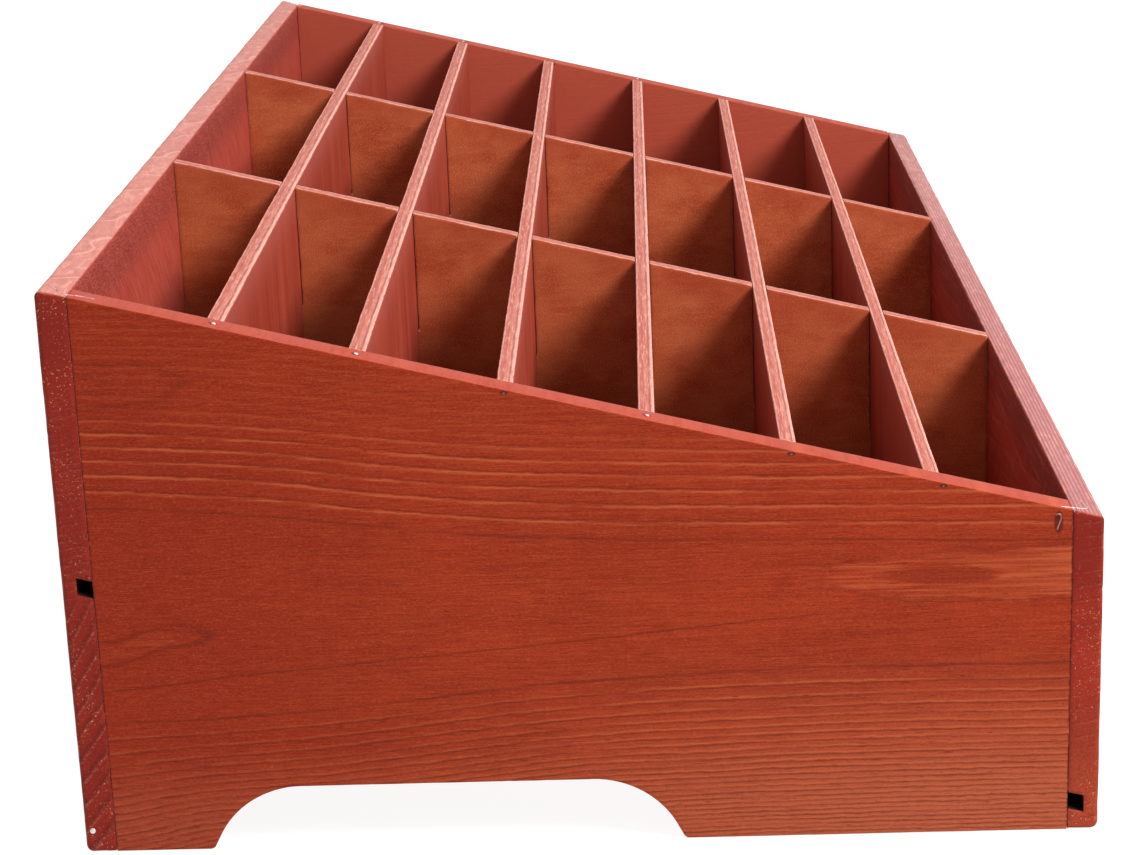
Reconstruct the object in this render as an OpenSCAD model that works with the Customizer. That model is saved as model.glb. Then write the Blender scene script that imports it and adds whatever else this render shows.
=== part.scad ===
// Umbrella stand: an open-topped wooden box whose rim slopes down from a tall end to a short end.
// A bottom board that slopes a little more than the rim hangs in grooves in the end boards. Plywood
// dividers, halved into each other like an egg crate, stand on it and make a grid of slots.
// X runs from the tall end to the short end, Y from the front side to the back, Z up.
// The origin is on the floor, at the middle of the footprint.

/* [Outside] */
// Length from the tall end to the short end
box_l = 400; // [320:5:520]
// Width from the front side to the back side
box_w = 740; // [500:5:900]
// Height of the rim at the tall end
tall_h = 231; // [220:1:280]
// Height of the rim at the short end
short_h = 130; // [126:1:160]

/* [Boards] */
// Thickness of the two end boards
end_t = 12; // [10:0.5:18]
// Thickness of the two side panels
side_t = 12; // [10:0.5:18]
// Thickness of the plywood in the dividers and the bottom
ply_t = 6.3; // [4:0.1:8]

/* [Slots] */
// Height from the bottom board up to the rim, beside the tall end board
slot_depth_tall = 113.8; // [90:0.2:118]
// Height from the bottom board up to the rim, beside the short end board
slot_depth_short = 117.4; // [90:0.2:118]
// Extra width of the halving cuts over the plywood that sits in them
halving_play = 0.4; // [0.1:0.1:1]

/* [Bottom board] */
// How far the bottom board goes into each end board
groove_depth = 6; // [3:0.5:8]
// Clearance round the bottom board in its grooves, and at the side panels
groove_play = 0.15; // [0.05:0.05:0.5]

/* [Arch] */
// Distance from the tall end to where the arch leaves the floor
arch_start = 51.6; // [40:0.2:80]
// Distance from the tall end to where the arch meets the floor again
arch_end = 237.6; // [180:0.2:280]
// Height of the arch over the floor
arch_h = 26.2; // [15:0.2:35]
// Radius of the arch's two shoulders
arch_r = 37.2; // [36:0.2:45]

/* [Fasteners] */
// Thickness of the corner nails' steel strip
nail_strip = 0.8; // [0.5:0.1:1.2]
// How deep the corner nails go into the rim
nail_depth = 10; // [6:1:12]
// Shank diameter of the brads
brad_d = 1.4; // [1:0.1:1.8]
// Head diameter of the brads
brad_head_d = 2.2; // [1.8:0.1:2.6]
// Length of the brads
brad_l = 25; // [20:1:30]

/* [Hidden] */
cols = 7;
rows = 3;
cross_count = cols - 1;
long_names = ["long_divider_front", "long_divider_back"];

$fn = 32;
half_l = box_l / 2;
half_w = box_w / 2;
slope = (short_h - tall_h) / box_l;
inner_l = box_l - 2 * end_t;
floor_slope = slope - (slot_depth_short - slot_depth_tall) / inner_l;
bottom_t = ply_t / cos(atan(floor_slope));
inner_w = box_w - 2 * side_t;
col_w = (inner_l - cross_count * ply_t) / cols;
row_w = (inner_w - (rows - 1) * ply_t) / rows;
brad_head_t = 0.6;
side_leg = 11;
end_leg = 9.5;
cut = 1;
arch_facets = 64;
// Brads driven in through the rim, and through the panel's face: inset, drop and lean
rim_brad = [side_t / 2, 0.6, 45];
face_brad = [0.6, 2.4, 65];
// The flattened brad: distance from the end board, drop under the rim, lean and length
flat_brad_place = [7.6, 9.6, 18, 7];
// The brad near the floor: distance from the tall end, height and length
low_brad_place = [3, 8, 12];
// Corner nails: end, side, distance of the bend from the end and from the side, turn, bend
corner_nail_places = [
    [-1, -1, 10, 3, -11, 115],
    [1, -1, 5.2, 5.6, 19, 96],
    [-1, 1, 6, 5.5, 5, 104],
    [1, 1, 6, 5.5, 5, 104]
];
// Which cross dividers have their brad driven through the rim, not the panel's face
brad_in_rim = [true, true, false, true, false, false];

pine = "sienna";
ply = "indianred";
steel = "silver";

// Height of the rim, and of the bottom board's upper face, at a distance x from the middle
function rim_z(x) = tall_h + slope * (x + half_l);
function floor_z(x) = rim_z(-inner_l / 2) - slot_depth_tall + floor_slope * (x + inner_l / 2);
// Height halfway between the bottom board and the rim, where the dividers' halving cuts meet
function half_z(x) = (rim_z(x) + floor_z(x)) / 2;
// Middle of cross divider i (1 is nearest the tall end) and of long divider j (0 is the front one)
function cross_x(i) = -inner_l / 2 + i * (col_w + ply_t) - ply_t / 2;
function long_y(j) = -inner_w / 2 + (j + 1) * (row_w + ply_t) - ply_t / 2;

// A profile drawn in X and Z, made into a board from y0 to y1
module board(y0, y1) {
    translate([0, y1, 0])
        rotate([90, 0, 0])
            linear_extrude(y1 - y0) children();
}

// The stretch from x0 to x1 between the floor and the rim
module under_rim(x0, x1) {
    polygon([[x0, 0], [x1, 0], [x1, rim_z(x1)], [x0, rim_z(x0)]]);
}

// The stretch from x0 to x1 between the bottom board and the rim
module over_floor(x0, x1) {
    polygon([[x0, floor_z(x0)], [x1, floor_z(x1)], [x1, rim_z(x1)], [x0, rim_z(x0)]]);
}

// The bottom board's own profile, grown by play on every side
module bottom_profile(play) {
    x0 = -inner_l / 2 - groove_depth - play;
    x1 = inner_l / 2 + groove_depth + play;
    polygon([
        [x0, floor_z(x0) - bottom_t - play],
        [x1, floor_z(x1) - bottom_t - play],
        [x1, floor_z(x1) + play],
        [x0, floor_z(x0) + play]
    ]);
}

module arch_profile() {
    reach = sqrt(arch_r * arch_r - pow(arch_r - arch_h, 2));
    x0 = -half_l + arch_start + reach;
    x1 = -half_l + arch_end - reach;
    for (x = [x0, x1])
        translate([x, arch_h - arch_r]) circle(arch_r, $fn = arch_facets);
    translate([x0, -cut]) square([x1 - x0, arch_h + cut]);
}

// One corner nail: a bent strip driven into the rim, with one leg in the side panel and one in the
// end board. The side leg points along -X, turned by turn, and bend is the angle between the legs.
module corner_nail(turn, bend) {
    translate([0, 0, -nail_depth])
        linear_extrude(nail_depth)
            rotate(180 + turn)
                union() {
                    strip(side_leg);
                    rotate(-bend) strip(end_leg);
                }
}

module strip(len) {
    translate([-nail_strip / 2, -nail_strip / 2])
        square([len + nail_strip / 2, nail_strip]);
}

// The nail at each corner of the rim, none of them quite alike
module all_corner_nails() {
    for (n = corner_nail_places) {
        x = half_l - n[2];
        y = half_w - n[3];
        translate([n[0] * x, n[1] * y, rim_z(n[0] * x)])
            scale([n[0], -n[1], 1])
                corner_nail(n[4], n[5]);
    }
}

// A brad whose head lies at the origin and whose shank points down
module brad(len) {
    translate([0, 0, -len]) cylinder(d = brad_d, h = len);
    translate([0, 0, -brad_head_t]) cylinder(d = brad_head_d, h = brad_head_t);
}

// The brads that hold the cross dividers to the front side (side = -1) or the back side (side = 1).
// Some go in through the rim, the rest through the panel's face just under it.
module divider_brads(side) {
    for (i = [1:cross_count]) {
        x = cross_x(i);
        place = brad_in_rim[i - 1] ? rim_brad : face_brad;
        translate([x, side * (half_w - place[0]), rim_z(x) - place[1]])
            rotate([-side * place[2], 0, 0])
                brad(brad_l);
    }
}

// A brad that missed the end board and was hammered flat into the front panel's face
module flat_brad() {
    x = half_l - end_t - flat_brad_place[0];
    translate([x, -half_w + brad_d / 2, rim_z(x) - flat_brad_place[1]])
        rotate([0, flat_brad_place[2], 0])
            cylinder(d = brad_d, h = flat_brad_place[3]);
}

// A brad in the front edge of the tall end board, close to the floor
module low_brad() {
    translate([-half_l + low_brad_place[0], -half_w, low_brad_place[1]])
        rotate([90, 0, 0])
            brad(low_brad_place[2]);
}

module side_panel(side) {
    y0 = side > 0 ? half_w - side_t : -half_w;
    difference() {
        board(y0, y0 + side_t)
            difference() {
                under_rim(-inner_l / 2, inner_l / 2);
                arch_profile();
            }
        all_corner_nails();
        divider_brads(side);
        if (side < 0)
            flat_brad();
    }
}

module end_board(end) {
    x0 = end > 0 ? half_l - end_t : -half_l;
    difference() {
        board(-half_w, half_w)
            difference() {
                under_rim(x0, x0 + end_t);
                bottom_profile(groove_play);
            }
        all_corner_nails();
        if (end < 0)
            low_brad();
    }
}

module cross_divider(i) {
    x = cross_x(i);
    slot_w = ply_t + halving_play;
    slot_top = half_z(x) + halving_play;
    difference() {
        board(-inner_w / 2, inner_w / 2)
            over_floor(x - ply_t / 2, x + ply_t / 2);
        for (j = [0:rows - 2])
            translate([x - ply_t, long_y(j) - slot_w / 2, 0])
                cube([2 * ply_t, slot_w, slot_top]);
        for (side = [-1, 1])
            divider_brads(side);
    }
}

module long_divider(j) {
    slot_w = ply_t + halving_play;
    y = long_y(j);
    board(y - ply_t / 2, y + ply_t / 2)
        difference() {
            over_floor(-inner_l / 2, inner_l / 2);
            for (i = [1:cross_count])
                translate([cross_x(i) - slot_w / 2, half_z(cross_x(i))])
                    square([slot_w, slot_depth_short]);
        }
}

module tall_end_board() {
    color(pine) end_board(-1);
}

module short_end_board() {
    color(pine) end_board(1);
}

module front_side_panel() {
    color(pine) side_panel(-1);
}

module back_side_panel() {
    color(pine) side_panel(1);
}

module sloping_bottom() {
    color(ply)
        board(-inner_w / 2 + groove_play, inner_w / 2 - groove_play)
            bottom_profile(0);
}

module corner_nails() {
    color(steel) all_corner_nails();
}

module front_divider_brads() {
    color(steel) divider_brads(-1);
}

module back_divider_brads() {
    color(steel) divider_brads(1);
}

module bent_brad() {
    color(steel) flat_brad();
}

module foot_brad() {
    color(steel) low_brad();
}

tall_end_board();
short_end_board();
front_side_panel();
back_side_panel();
sloping_bottom();
for (i = [1:cross_count])
    color(ply) cross_divider(i);
for (j = [0:rows - 2])
    color(ply) long_divider(j);
corner_nails();
front_divider_brads();
back_divider_brads();
bent_brad();
foot_brad();
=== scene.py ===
"""The looks of the umbrella stand: a red-stained wooden box with a sloping rim and plywood slots.

Lengths are millimetres while a piece is being shaped and become metres in its mesh. X runs from
the tall end to the short end, Y from the front to the back, Z up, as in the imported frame.
"""

import math
import random

import bpy
import numpy as np
from mathutils import Matrix, Vector, noise


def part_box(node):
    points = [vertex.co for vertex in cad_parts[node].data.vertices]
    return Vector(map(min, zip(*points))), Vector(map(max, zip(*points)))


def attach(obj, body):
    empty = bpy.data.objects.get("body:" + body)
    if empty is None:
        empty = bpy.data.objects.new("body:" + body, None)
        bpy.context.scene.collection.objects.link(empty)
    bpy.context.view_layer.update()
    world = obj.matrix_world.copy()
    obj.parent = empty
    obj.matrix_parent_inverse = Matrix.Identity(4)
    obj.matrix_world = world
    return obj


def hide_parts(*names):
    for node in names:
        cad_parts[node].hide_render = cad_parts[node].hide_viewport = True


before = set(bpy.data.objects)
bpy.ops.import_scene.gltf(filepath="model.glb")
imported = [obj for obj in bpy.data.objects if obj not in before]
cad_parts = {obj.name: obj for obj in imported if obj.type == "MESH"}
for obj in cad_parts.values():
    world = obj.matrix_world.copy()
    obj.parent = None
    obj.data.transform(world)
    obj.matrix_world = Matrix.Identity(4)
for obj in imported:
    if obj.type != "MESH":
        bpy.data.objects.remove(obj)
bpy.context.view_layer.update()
MM = 0.001
scene = bpy.context.scene


# ------------------------ camera and studio

SENSOR_WIDTH = 36.0
CAMERA_PLACE = Vector((0.02764, -1.31966, 0.47090))
CAMERA_RIGHT = Vector((0.999129, 0.020960, -0.036072))
CAMERA_UP = Vector((0.028522, 0.287817, 0.957261))
CAMERA_LENS = 83.44
CAMERA_SHIFT = (0.0035, -0.0329)


def make_camera():
    data = bpy.data.cameras.new("camera")
    data.sensor_width = SENSOR_WIDTH
    data.lens = CAMERA_LENS
    data.shift_x, data.shift_y = CAMERA_SHIFT
    camera = bpy.data.objects.new("camera", data)
    right = CAMERA_RIGHT.normalized()
    up = (CAMERA_UP - CAMERA_UP.dot(right) * right).normalized()
    back = right.cross(up)
    turn = Matrix((right, up, back)).transposed().to_4x4()
    camera.matrix_world = Matrix.Translation(CAMERA_PLACE) @ turn
    scene.collection.objects.link(camera)
    scene.camera = camera


# ------------------------ sizes, read from the frame

def box_mm(node):
    """The lowest and highest corner of a CAD node's box, in millimetres."""
    lo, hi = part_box(node)
    return lo / MM, hi / MM


TALL_LO, TALL_HI = box_mm("tall_end_board")
SHORT_LO, SHORT_HI = box_mm("short_end_board")
FRONT_LO, FRONT_HI = box_mm("front_side_panel")
BACK_LO, _ = box_mm("back_side_panel")
BOTTOM_LO, BOTTOM_HI = box_mm("sloping_bottom")
LONG_NAMES = ["long_divider_front", "long_divider_back"]
LONG_BOXES = [box_mm(name) for name in LONG_NAMES]
CROSS_NAMES = [f"cross_divider_{i}" for i in range(1, 7)]
CROSS_BOXES = [box_mm(name) for name in CROSS_NAMES]

HALF_L = -TALL_LO.x
HALF_W = TALL_HI.y
END_T = TALL_HI.x - TALL_LO.x
SIDE_T = FRONT_HI.y - FRONT_LO.y
INNER_L = HALF_L - END_T
INNER_W = HALF_W - SIDE_T
TALL_H = TALL_HI.z
SLOPE = (SHORT_HI.z - TALL_HI.z) / (SHORT_LO.x - TALL_LO.x)
PLY_T = LONG_BOXES[0][1].y - LONG_BOXES[0][0].y
LONG_Y = [(lo.y + hi.y) / 2 for lo, hi in LONG_BOXES]
CROSS_X = [(lo.x + hi.x) / 2 for lo, hi in CROSS_BOXES]


def rim_z(x):
    """Height of the rim."""
    return TALL_H + SLOPE * (x + HALF_L)


FLOOR_SLOPE = (LONG_BOXES[0][0].z - BOTTOM_HI.z) / (INNER_L - BOTTOM_LO.x)


def floor_z(x):
    """Height of the bottom board's upper face, which slopes a little more than the rim."""
    return BOTTOM_HI.z + FLOOR_SLOPE * (x - BOTTOM_LO.x)


BOTTOM_T = floor_z(BOTTOM_HI.x) - BOTTOM_LO.z


# How far each cross divider's front end, middle and back end stand off their true line
CROSS_DRIFT = [(1.9, 0.2, 0.0), (0.3, 0.0, -1.4), (1.2, 0.0, -1.6), (0.0, 0.0, 0.0),
               (-1.0, 0.0, 0.0), (-1.1, 0.0, 0.0)]


def cross_x(i, y):
    """Where cross divider i stands at a distance y from the middle."""
    front, middle, back = CROSS_DRIFT[i]
    t = np.asarray(y, float) / INNER_W
    return CROSS_X[i] + middle + np.where(t < 0, (front - middle) * -t, (back - middle) * t)


# ------------------------ outlines

# Least radius that a round corner keeps when its outline shrinks, and length of an arc's steps
ARC_LEFT = 0.02
ARC_STEP = 1.2


class Outline:
    """A closed outline, anticlockwise, from corners (u, v, radius), that can be drawn inwards.

    Each point has a centre, a direction and radius from it (none away from round corners), a
    mitre, which is how it moves when the outline shrinks, and how far round a corner it is.
    """

    def __init__(self, corners, step):
        self.step = step
        self.rows = []
        count = len(corners)
        for k in range(count):
            before, here, after = (np.array(corners[(k + s) % count][:2], float) for s in (-1, 0, 1))
            end = self.corner(before, here, after, corners[k][2])
            following = np.array(corners[(k + 1) % count][:2], float)
            beyond = np.array(corners[(k + 2) % count][:2], float)
            start = following - self.reach(here, following, beyond, corners[(k + 1) % count][2])
            self.straight(end, start, step)
        centre, radial, radius, mitre, bend = zip(*self.rows)
        self.centre, self.radial, self.mitre = (np.array(v) for v in (centre, radial, mitre))
        self.radius, self.bend = np.array(radius), np.array(bend)
        self.points = self.inset(np.zeros(len(self.rows)))

    @staticmethod
    def ways(before, here, after):
        """The directions into a corner and out of it, and the angle between them."""
        into = (here - before) / np.linalg.norm(here - before)
        out = (after - here) / np.linalg.norm(after - here)
        return into, out, math.atan2(into[0] * out[1] - into[1] * out[0], into @ out)

    def reach(self, before, here, after, radius):
        """From the start of a corner's arc to the corner."""
        into, _, turn = self.ways(before, here, after)
        return into * radius * math.tan(abs(turn) / 2)

    def corner(self, before, here, after, radius):
        """Adds a corner, rounded if it is convex and has a radius, and returns where it ends."""
        into, out, turn = self.ways(before, here, after)
        n0, n1 = np.array([into[1], -into[0]]), np.array([out[1], -out[0]])
        mitre = (n0 + n1) / max(1 + n0 @ n1, 0.3)
        if radius <= 0:
            self.rows.append((here, np.zeros(2), 0.0, mitre, 0.0))
            return here
        reach = radius * math.tan(turn / 2)
        centre = here - into * reach - n0 * radius
        steps = max(4, int(turn * radius / ARC_STEP))
        for a in range(steps + 1):
            angle = turn * a / steps
            cos, sin = math.cos(angle), math.sin(angle)
            radial = np.array([n0[0] * cos - n0[1] * sin, n0[0] * sin + n0[1] * cos])
            self.rows.append((centre, radial, radius, mitre, math.sin(math.pi * a / steps)))
        return here + out * reach

    def straight(self, start, end, step):
        along = end - start
        span = np.linalg.norm(along)
        steps = int(span / step) + 1
        normal = np.array([along[1], -along[0]]) / max(span, 1e-9)
        for k in range(1, steps):
            self.rows.append((start + along * k / steps, np.zeros(2), 0.0, normal, 0.0))

    def inset(self, by):
        """The outline drawn inwards by a distance of its own at each point."""
        round_ = self.radius > 0
        slide = np.maximum(by - self.radius + ARC_LEFT * round_, 0)
        left = np.where(round_, np.maximum(self.radius - by, ARC_LEFT), 0)
        return self.centre - self.mitre * slide[:, None] + self.radial * left[:, None]


def wander(points, scale, seed):
    """Smooth noise from -1 to 1 at each point (any number of columns)."""
    out = np.empty(len(points))
    for k, p in enumerate(points):
        q = Vector((p[0] / scale + seed, (p[1] if len(p) > 1 else 0) / scale - seed,
                    (p[2] if len(p) > 2 else 0) / scale + 2.7 * seed))
        out[k] = noise.noise(q)
    return out * 1.6


# ------------------------ boards

ARRIS_STEPS = 4
# How far inside the arrises the rings at the edge of a board's two faces lie
HEM = 0.5
# How much shorter than an outline's steps an arris's radius stays
STEP_LEFT = 0.6
# Lengths over which an arris is more or less worn
WORN_LONG, WORN_SHORT = 14, 3.1
FAR_SEED = 31


def quarter_round(radius, face, inward):
    """Rings that round an arris, from the face to the wall: (inset, depth, arris mask, wall mask)."""
    rings = []
    for k in range(ARRIS_STEPS + 1):
        a = math.pi / 2 * k / ARRIS_STEPS
        rings.append((radius * (1 - math.sin(a)), face + inward * radius * (1 - math.cos(a)),
                      np.full(len(radius), math.sin(2 * a)), k / ARRIS_STEPS))
    return rings


def sweep(shape, rings, depth, place, local):
    """The rings' vertices, and for each one its masks and its distance from mid-thickness."""
    verts, arris_mask, wall_mask, across = [], [], [], []
    for inset, d, mask, wall in rings:
        flat = shape.inset(inset)
        verts.append(np.stack(place(flat[:, 0], flat[:, 1], d), 1))
        arris_mask.append(np.maximum(mask, shape.bend * wall) * np.minimum(local, 1))
        wall_mask.append(np.full(len(flat), wall))
        across.append(d - depth / 2)
    layers = {"arris": arris_mask, "wall": wall_mask, "across": across}
    return np.concatenate(verts), {key: np.concatenate(parts) for key, parts in layers.items()}


def tube_faces(rings, sides):
    """Faces that join rings of vertices into a tube, with a cap at each end."""
    faces = []
    for r in range(rings - 1):
        a, b = r * sides, (r + 1) * sides
        for k in range(sides):
            j = (k + 1) % sides
            faces.append((a + k, b + k, b + j, a + j))
    last = (rings - 1) * sides
    faces.append(tuple(range(sides)))
    faces.append(tuple(range(last + sides - 1, last - 1, -1)))
    return faces


def board(name, shape, depth, place, arris, seed, chips=0, stations=(), chip_size=1.0,
          unevenness=0.06, worn=0.35, local=None):
    """A board: an outline swept through its depth, with worn, uneven arrises.

    shape is an Outline; place turns arrays u, v, d into x, y, z. arris is the radius of the rounding
    round both faces, and local, if given, is what to multiply it by at each point of the outline.
    chips are small splinters missing from an arris, and stations the depths of rings in the wall.
    """
    rng = random.Random(seed)
    points = shape.points
    count = len(points)
    local = np.ones(count) if local is None else local(points)
    run = np.concatenate([[0], np.cumsum(np.linalg.norm(np.diff(points, axis=0), axis=1))])
    total = run[-1] + np.linalg.norm(points[0] - points[-1])

    def edge_radius(shift):
        r = arris * (1 + worn * wander(points, WORN_LONG, seed + shift)
                     + worn * 0.6 * wander(points, WORN_SHORT, seed + shift + 7))
        for _ in range(chips):
            at, half = rng.uniform(0, total), rng.uniform(0.6, 2.2) * chip_size
            away = np.abs((run - at + total / 2) % total - total / 2)
            r += chip_size * rng.uniform(0.3, 0.9) * np.exp(-(away / half) ** 2)
        return np.minimum(np.clip(r, arris * 0.35, None) * local, shape.step - STEP_LEFT)

    near, far = edge_radius(0), edge_radius(FAR_SEED)
    hem = max(near.max(), far.max()) + HEM
    none = np.zeros(count)
    rings = [(np.full(count, hem), none, none, 0.0)]
    rings += quarter_round(near, 0, 1)
    rings += [(none, np.full(count, d), shape.bend, 1.0) for d in stations if hem < d < depth - hem]
    rings += quarter_round(far, depth, -1)[::-1]
    rings.append((np.full(count, hem), np.full(count, depth), none, 0.0))
    verts, masks = sweep(shape, rings, depth, place, local)
    piece = make_piece(name, verts, tube_faces(len(rings), count), masks)
    soften(piece, unevenness, masks["arris"], seed)
    return piece


SHARP_ANGLE = math.radians(38)


def make_piece(name, verts, faces, masks):
    """A smooth-shaded object from vertices in millimetres, facing outwards, with its masks."""
    mesh = bpy.data.meshes.new(name)
    mesh.from_pydata((np.asarray(verts) * MM).tolist(), [], faces)
    mesh.validate()
    for key, values in masks.items():
        layer = mesh.attributes.new(key, "FLOAT", "POINT")
        layer.data.foreach_set("value", np.asarray(values, np.float32))
    mesh.shade_smooth()
    mesh.update()
    piece = bpy.data.objects.new(name, mesh)
    scene.collection.objects.link(piece)
    volume = sum(p.center.dot(p.normal) * p.area for p in mesh.polygons)
    if volume < 0:
        mesh.flip_normals()
    mesh.set_sharp_from_angle(angle=SHARP_ANGLE)
    return piece


UNEVEN_SCALE = 9


def vertex_values(mesh, key):
    values = np.empty(len(mesh.vertices) * 3)
    mesh.vertices.foreach_get(key, values)
    return values.reshape(-1, 3)


def soften(piece, amount, arris_mask, seed):
    """Moves the arrises in and out a little, so that no edge is machine straight."""
    mesh = piece.data
    co, normal = vertex_values(mesh, "co"), vertex_values(mesh, "normal")
    push = -amount * arris_mask * (0.5 + 0.5 * wander(co / MM, UNEVEN_SCALE, seed + 3))
    co += normal * (push * MM)[:, None]
    mesh.vertices.foreach_set("co", co.ravel())
    mesh.update()


def fit(piece, material):
    """Hands a piece over. Its name is its CAD node's, with what it is made of added."""
    node = piece.name.rsplit("_", 1)[0]
    piece.data.materials.append(material)
    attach(piece, "root")
    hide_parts(node)


# The arch in the side panels: where it starts and ends, from the tall end, its height, and the
# radius of its two shoulders
ARCH_START, ARCH_END = 51.6, 237.6
ARCH_H, ARCH_R = 26.2, 37.2
ARCH_STEPS = 18


def arch_points():
    """The arch's two shoulders: from the tall end's foot up to the top, and from the top down."""
    reach = math.sqrt(ARCH_R ** 2 - (ARCH_R - ARCH_H) ** 2)
    left = ARCH_START - HALF_L
    right = ARCH_END - HALF_L
    sweep_start = math.asin((ARCH_R - ARCH_H) / ARCH_R)
    up = []
    for k in range(ARCH_STEPS + 1):
        a = sweep_start + (math.pi / 2 - sweep_start) * k / ARCH_STEPS
        up.append((ARCH_R * math.cos(a), ARCH_H - ARCH_R + ARCH_R * math.sin(a)))
    tall_side = [(left + reach - x, z) for x, z in up]
    short_side = [(right - reach + x, z) for x, z in reversed(up)]
    return tall_side, short_side


# How far the front and back faces lie inside the CAD box, so that brads can stand proud of them
FACE_SET_BACK = 0.35
GROOVE_PLAY = 0.15


def snug(points):
    """Arrises stay nearly sharp where an end board meets a side panel, and round its groove."""
    from_inner = np.abs(points[:, 0]) - INNER_L
    groove = BOTTOM_HI.x - INNER_L + 2 * GROOVE_PLAY
    from_floor = np.abs(points[:, 1] - floor_z(points[:, 0]))
    in_groove = (from_inner < groove) & (from_floor < 1.3 * BOTTOM_T)
    return np.where((from_inner < 2 * GROOVE_PLAY) | in_groove, 0.3, 1.0)


# Radii of a side panel's corners at the floor, at the rim and at its feet's toes beside the arch,
# and how far the toes stop short of the arch
PANEL_FOOT_R, PANEL_RIM_R, TOE_R = 0.5, 0.4, 2.4
TOE_SHORT = 0.6


def side_panel(name, y0, seed):
    """A side panel with its arch; y0 is the side of it that faces the front."""
    tall_side, short_side = arch_points()
    corners = [(-INNER_L, 0, PANEL_FOOT_R), (tall_side[0][0] - TOE_SHORT, 0, TOE_R)]
    corners += [(x, z, 0) for x, z in tall_side[2:]]
    corners += [(x, z, 0) for x, z in short_side[:-2]]
    corners += [(short_side[-1][0] + TOE_SHORT, 0, TOE_R), (INNER_L, 0, PANEL_FOOT_R)]
    corners += [(x, rim_z(x), PANEL_RIM_R) for x in (INNER_L, -INNER_L)]
    start = y0 + (FACE_SET_BACK if y0 < 0 else 0)
    return board(name, Outline(corners, 2.6), SIDE_T - FACE_SET_BACK, lambda u, v, d: (u, start + d, v),
                 1.0, seed, chips=26, chip_size=0.7, unevenness=0.1, local=snug)


def end_board(name, end, seed):
    """end is -1 for the tall end and 1 for the short one; the groove faces inwards."""
    inner = end * INNER_L
    outer = end * HALF_L
    groove = end * (BOTTOM_HI.x + GROOVE_PLAY)
    top = floor_z(inner) + GROOVE_PLAY
    low = floor_z(inner) - BOTTOM_T - GROOVE_PLAY
    drop = floor_z(groove) - floor_z(inner)
    rim = [(inner, rim_z(inner), 1.1), (outer, rim_z(outer), 2.2)]
    foot = [(outer, 0, 2.6), (inner, 0, 0.8)]
    slot = [(inner, low, 0.4), (groove, low + drop, 0), (groove, top + drop, 0), (inner, top, 0.4)]
    corners = foot + slot + rim
    if end > 0:
        corners = corners[::-1]
    half = HALF_W - FACE_SET_BACK
    return board(name, Outline(corners, 2.2), 2 * half, lambda u, v, d: (u, d - half, v), 0.9, seed,
                 chips=10, stations=np.arange(0, 2 * half, 4.0), unevenness=0.35, local=snug)


# Radius of the corners of the plywood, and of the top of the halving cuts
PLY_R, CUT_R = 0.3, 0.35
HALVING_PLAY = 0.5


def bottom_board(name, seed):
    """The bottom board, whose two ends lie in the end boards' grooves."""
    x0, x1 = BOTTOM_LO.x, BOTTOM_HI.x
    corners = [(x0, floor_z(x0) - BOTTOM_T, PLY_R), (x1, floor_z(x1) - BOTTOM_T, PLY_R),
               (x1, floor_z(x1), PLY_R), (x0, floor_z(x0), PLY_R)]
    width = BOTTOM_HI.y - BOTTOM_LO.y
    return board(name, Outline(corners, 3.5), width, lambda u, v, d: (u, BOTTOM_LO.y + d, v), 0.4,
                 seed, stations=np.arange(0, width, 6.0))


def ragged(points):
    """Arrises are more broken along the saw cuts that halve a long divider."""
    x, z = points[:, 0], points[:, 1]
    cut = (z < rim_z(x) - 1.0) & (z > floor_z(x) + 1.0) & (np.abs(x) < INNER_L - 1.0)
    return np.where(cut, 0.8 + 2.0 * np.maximum(wander(points, 1.9, 5.0), 0), 1.0)


def long_divider(j, seed):
    """A long divider: it runs along X and is slotted from above for the cross dividers."""
    corners = [(-INNER_L, floor_z(-INNER_L), PLY_R), (INNER_L, floor_z(INNER_L), PLY_R),
               (INNER_L, rim_z(INNER_L), PLY_R)]
    half = (PLY_T + HALVING_PLAY) / 2
    for i in reversed(range(len(CROSS_X))):
        x = float(cross_x(i, LONG_Y[j]))
        middle = (floor_z(x) + rim_z(x)) / 2
        corners += [(x + half, rim_z(x + half), CUT_R), (x + half, middle, 0),
                    (x - half, middle, 0), (x - half, rim_z(x - half), CUT_R)]
    corners.append((-INNER_L, rim_z(-INNER_L), PLY_R))
    y0 = LONG_Y[j] - PLY_T / 2
    return board(f"{LONG_NAMES[j]}_ply", Outline(corners, 1.6), PLY_T, lambda u, v, d: (u, y0 + d, v),
                 0.42, seed, chips=60, chip_size=0.5, worn=0.6, local=ragged)


def cross_divider(i, seed):
    """A cross divider: it runs along Y, its rim slopes with X and it is slotted from below."""
    low = floor_z(CROSS_X[i])
    high = rim_z(CROSS_X[i])
    middle = (low + high) / 2
    half = (PLY_T + HALVING_PLAY) / 2
    corners = [(-INNER_W, low, PLY_R)]
    for y in LONG_Y:
        corners += [(y - half, low, PLY_R), (y - half, middle, 0), (y + half, middle, 0),
                    (y + half, low, PLY_R)]
    corners += [(INNER_W, low, PLY_R), (INNER_W, high, PLY_R), (-INNER_W, high, PLY_R)]

    def place(u, v, d):
        x = cross_x(i, u) - PLY_T / 2 + d
        return x, u, v + SLOPE * (x - CROSS_X[i])

    return board(f"{CROSS_NAMES[i]}_ply", Outline(corners, 2.6), PLY_T, place, 0.55, seed,
                 chips=40, chip_size=0.5, worn=0.5)


# ------------------------ fasteners

NAIL_STRIP = 0.7
NAIL_DEPTH = 10
NAIL_POINTS = 22
# Section of a corner nail: (across it, in strips; height over the rim)
NAIL_SECTION = [(-0.5, -NAIL_DEPTH), (0.5, -NAIL_DEPTH), (0.5, -0.05), (0.32, 0.14), (-0.32, 0.14),
                (-0.5, -0.05)]
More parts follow.
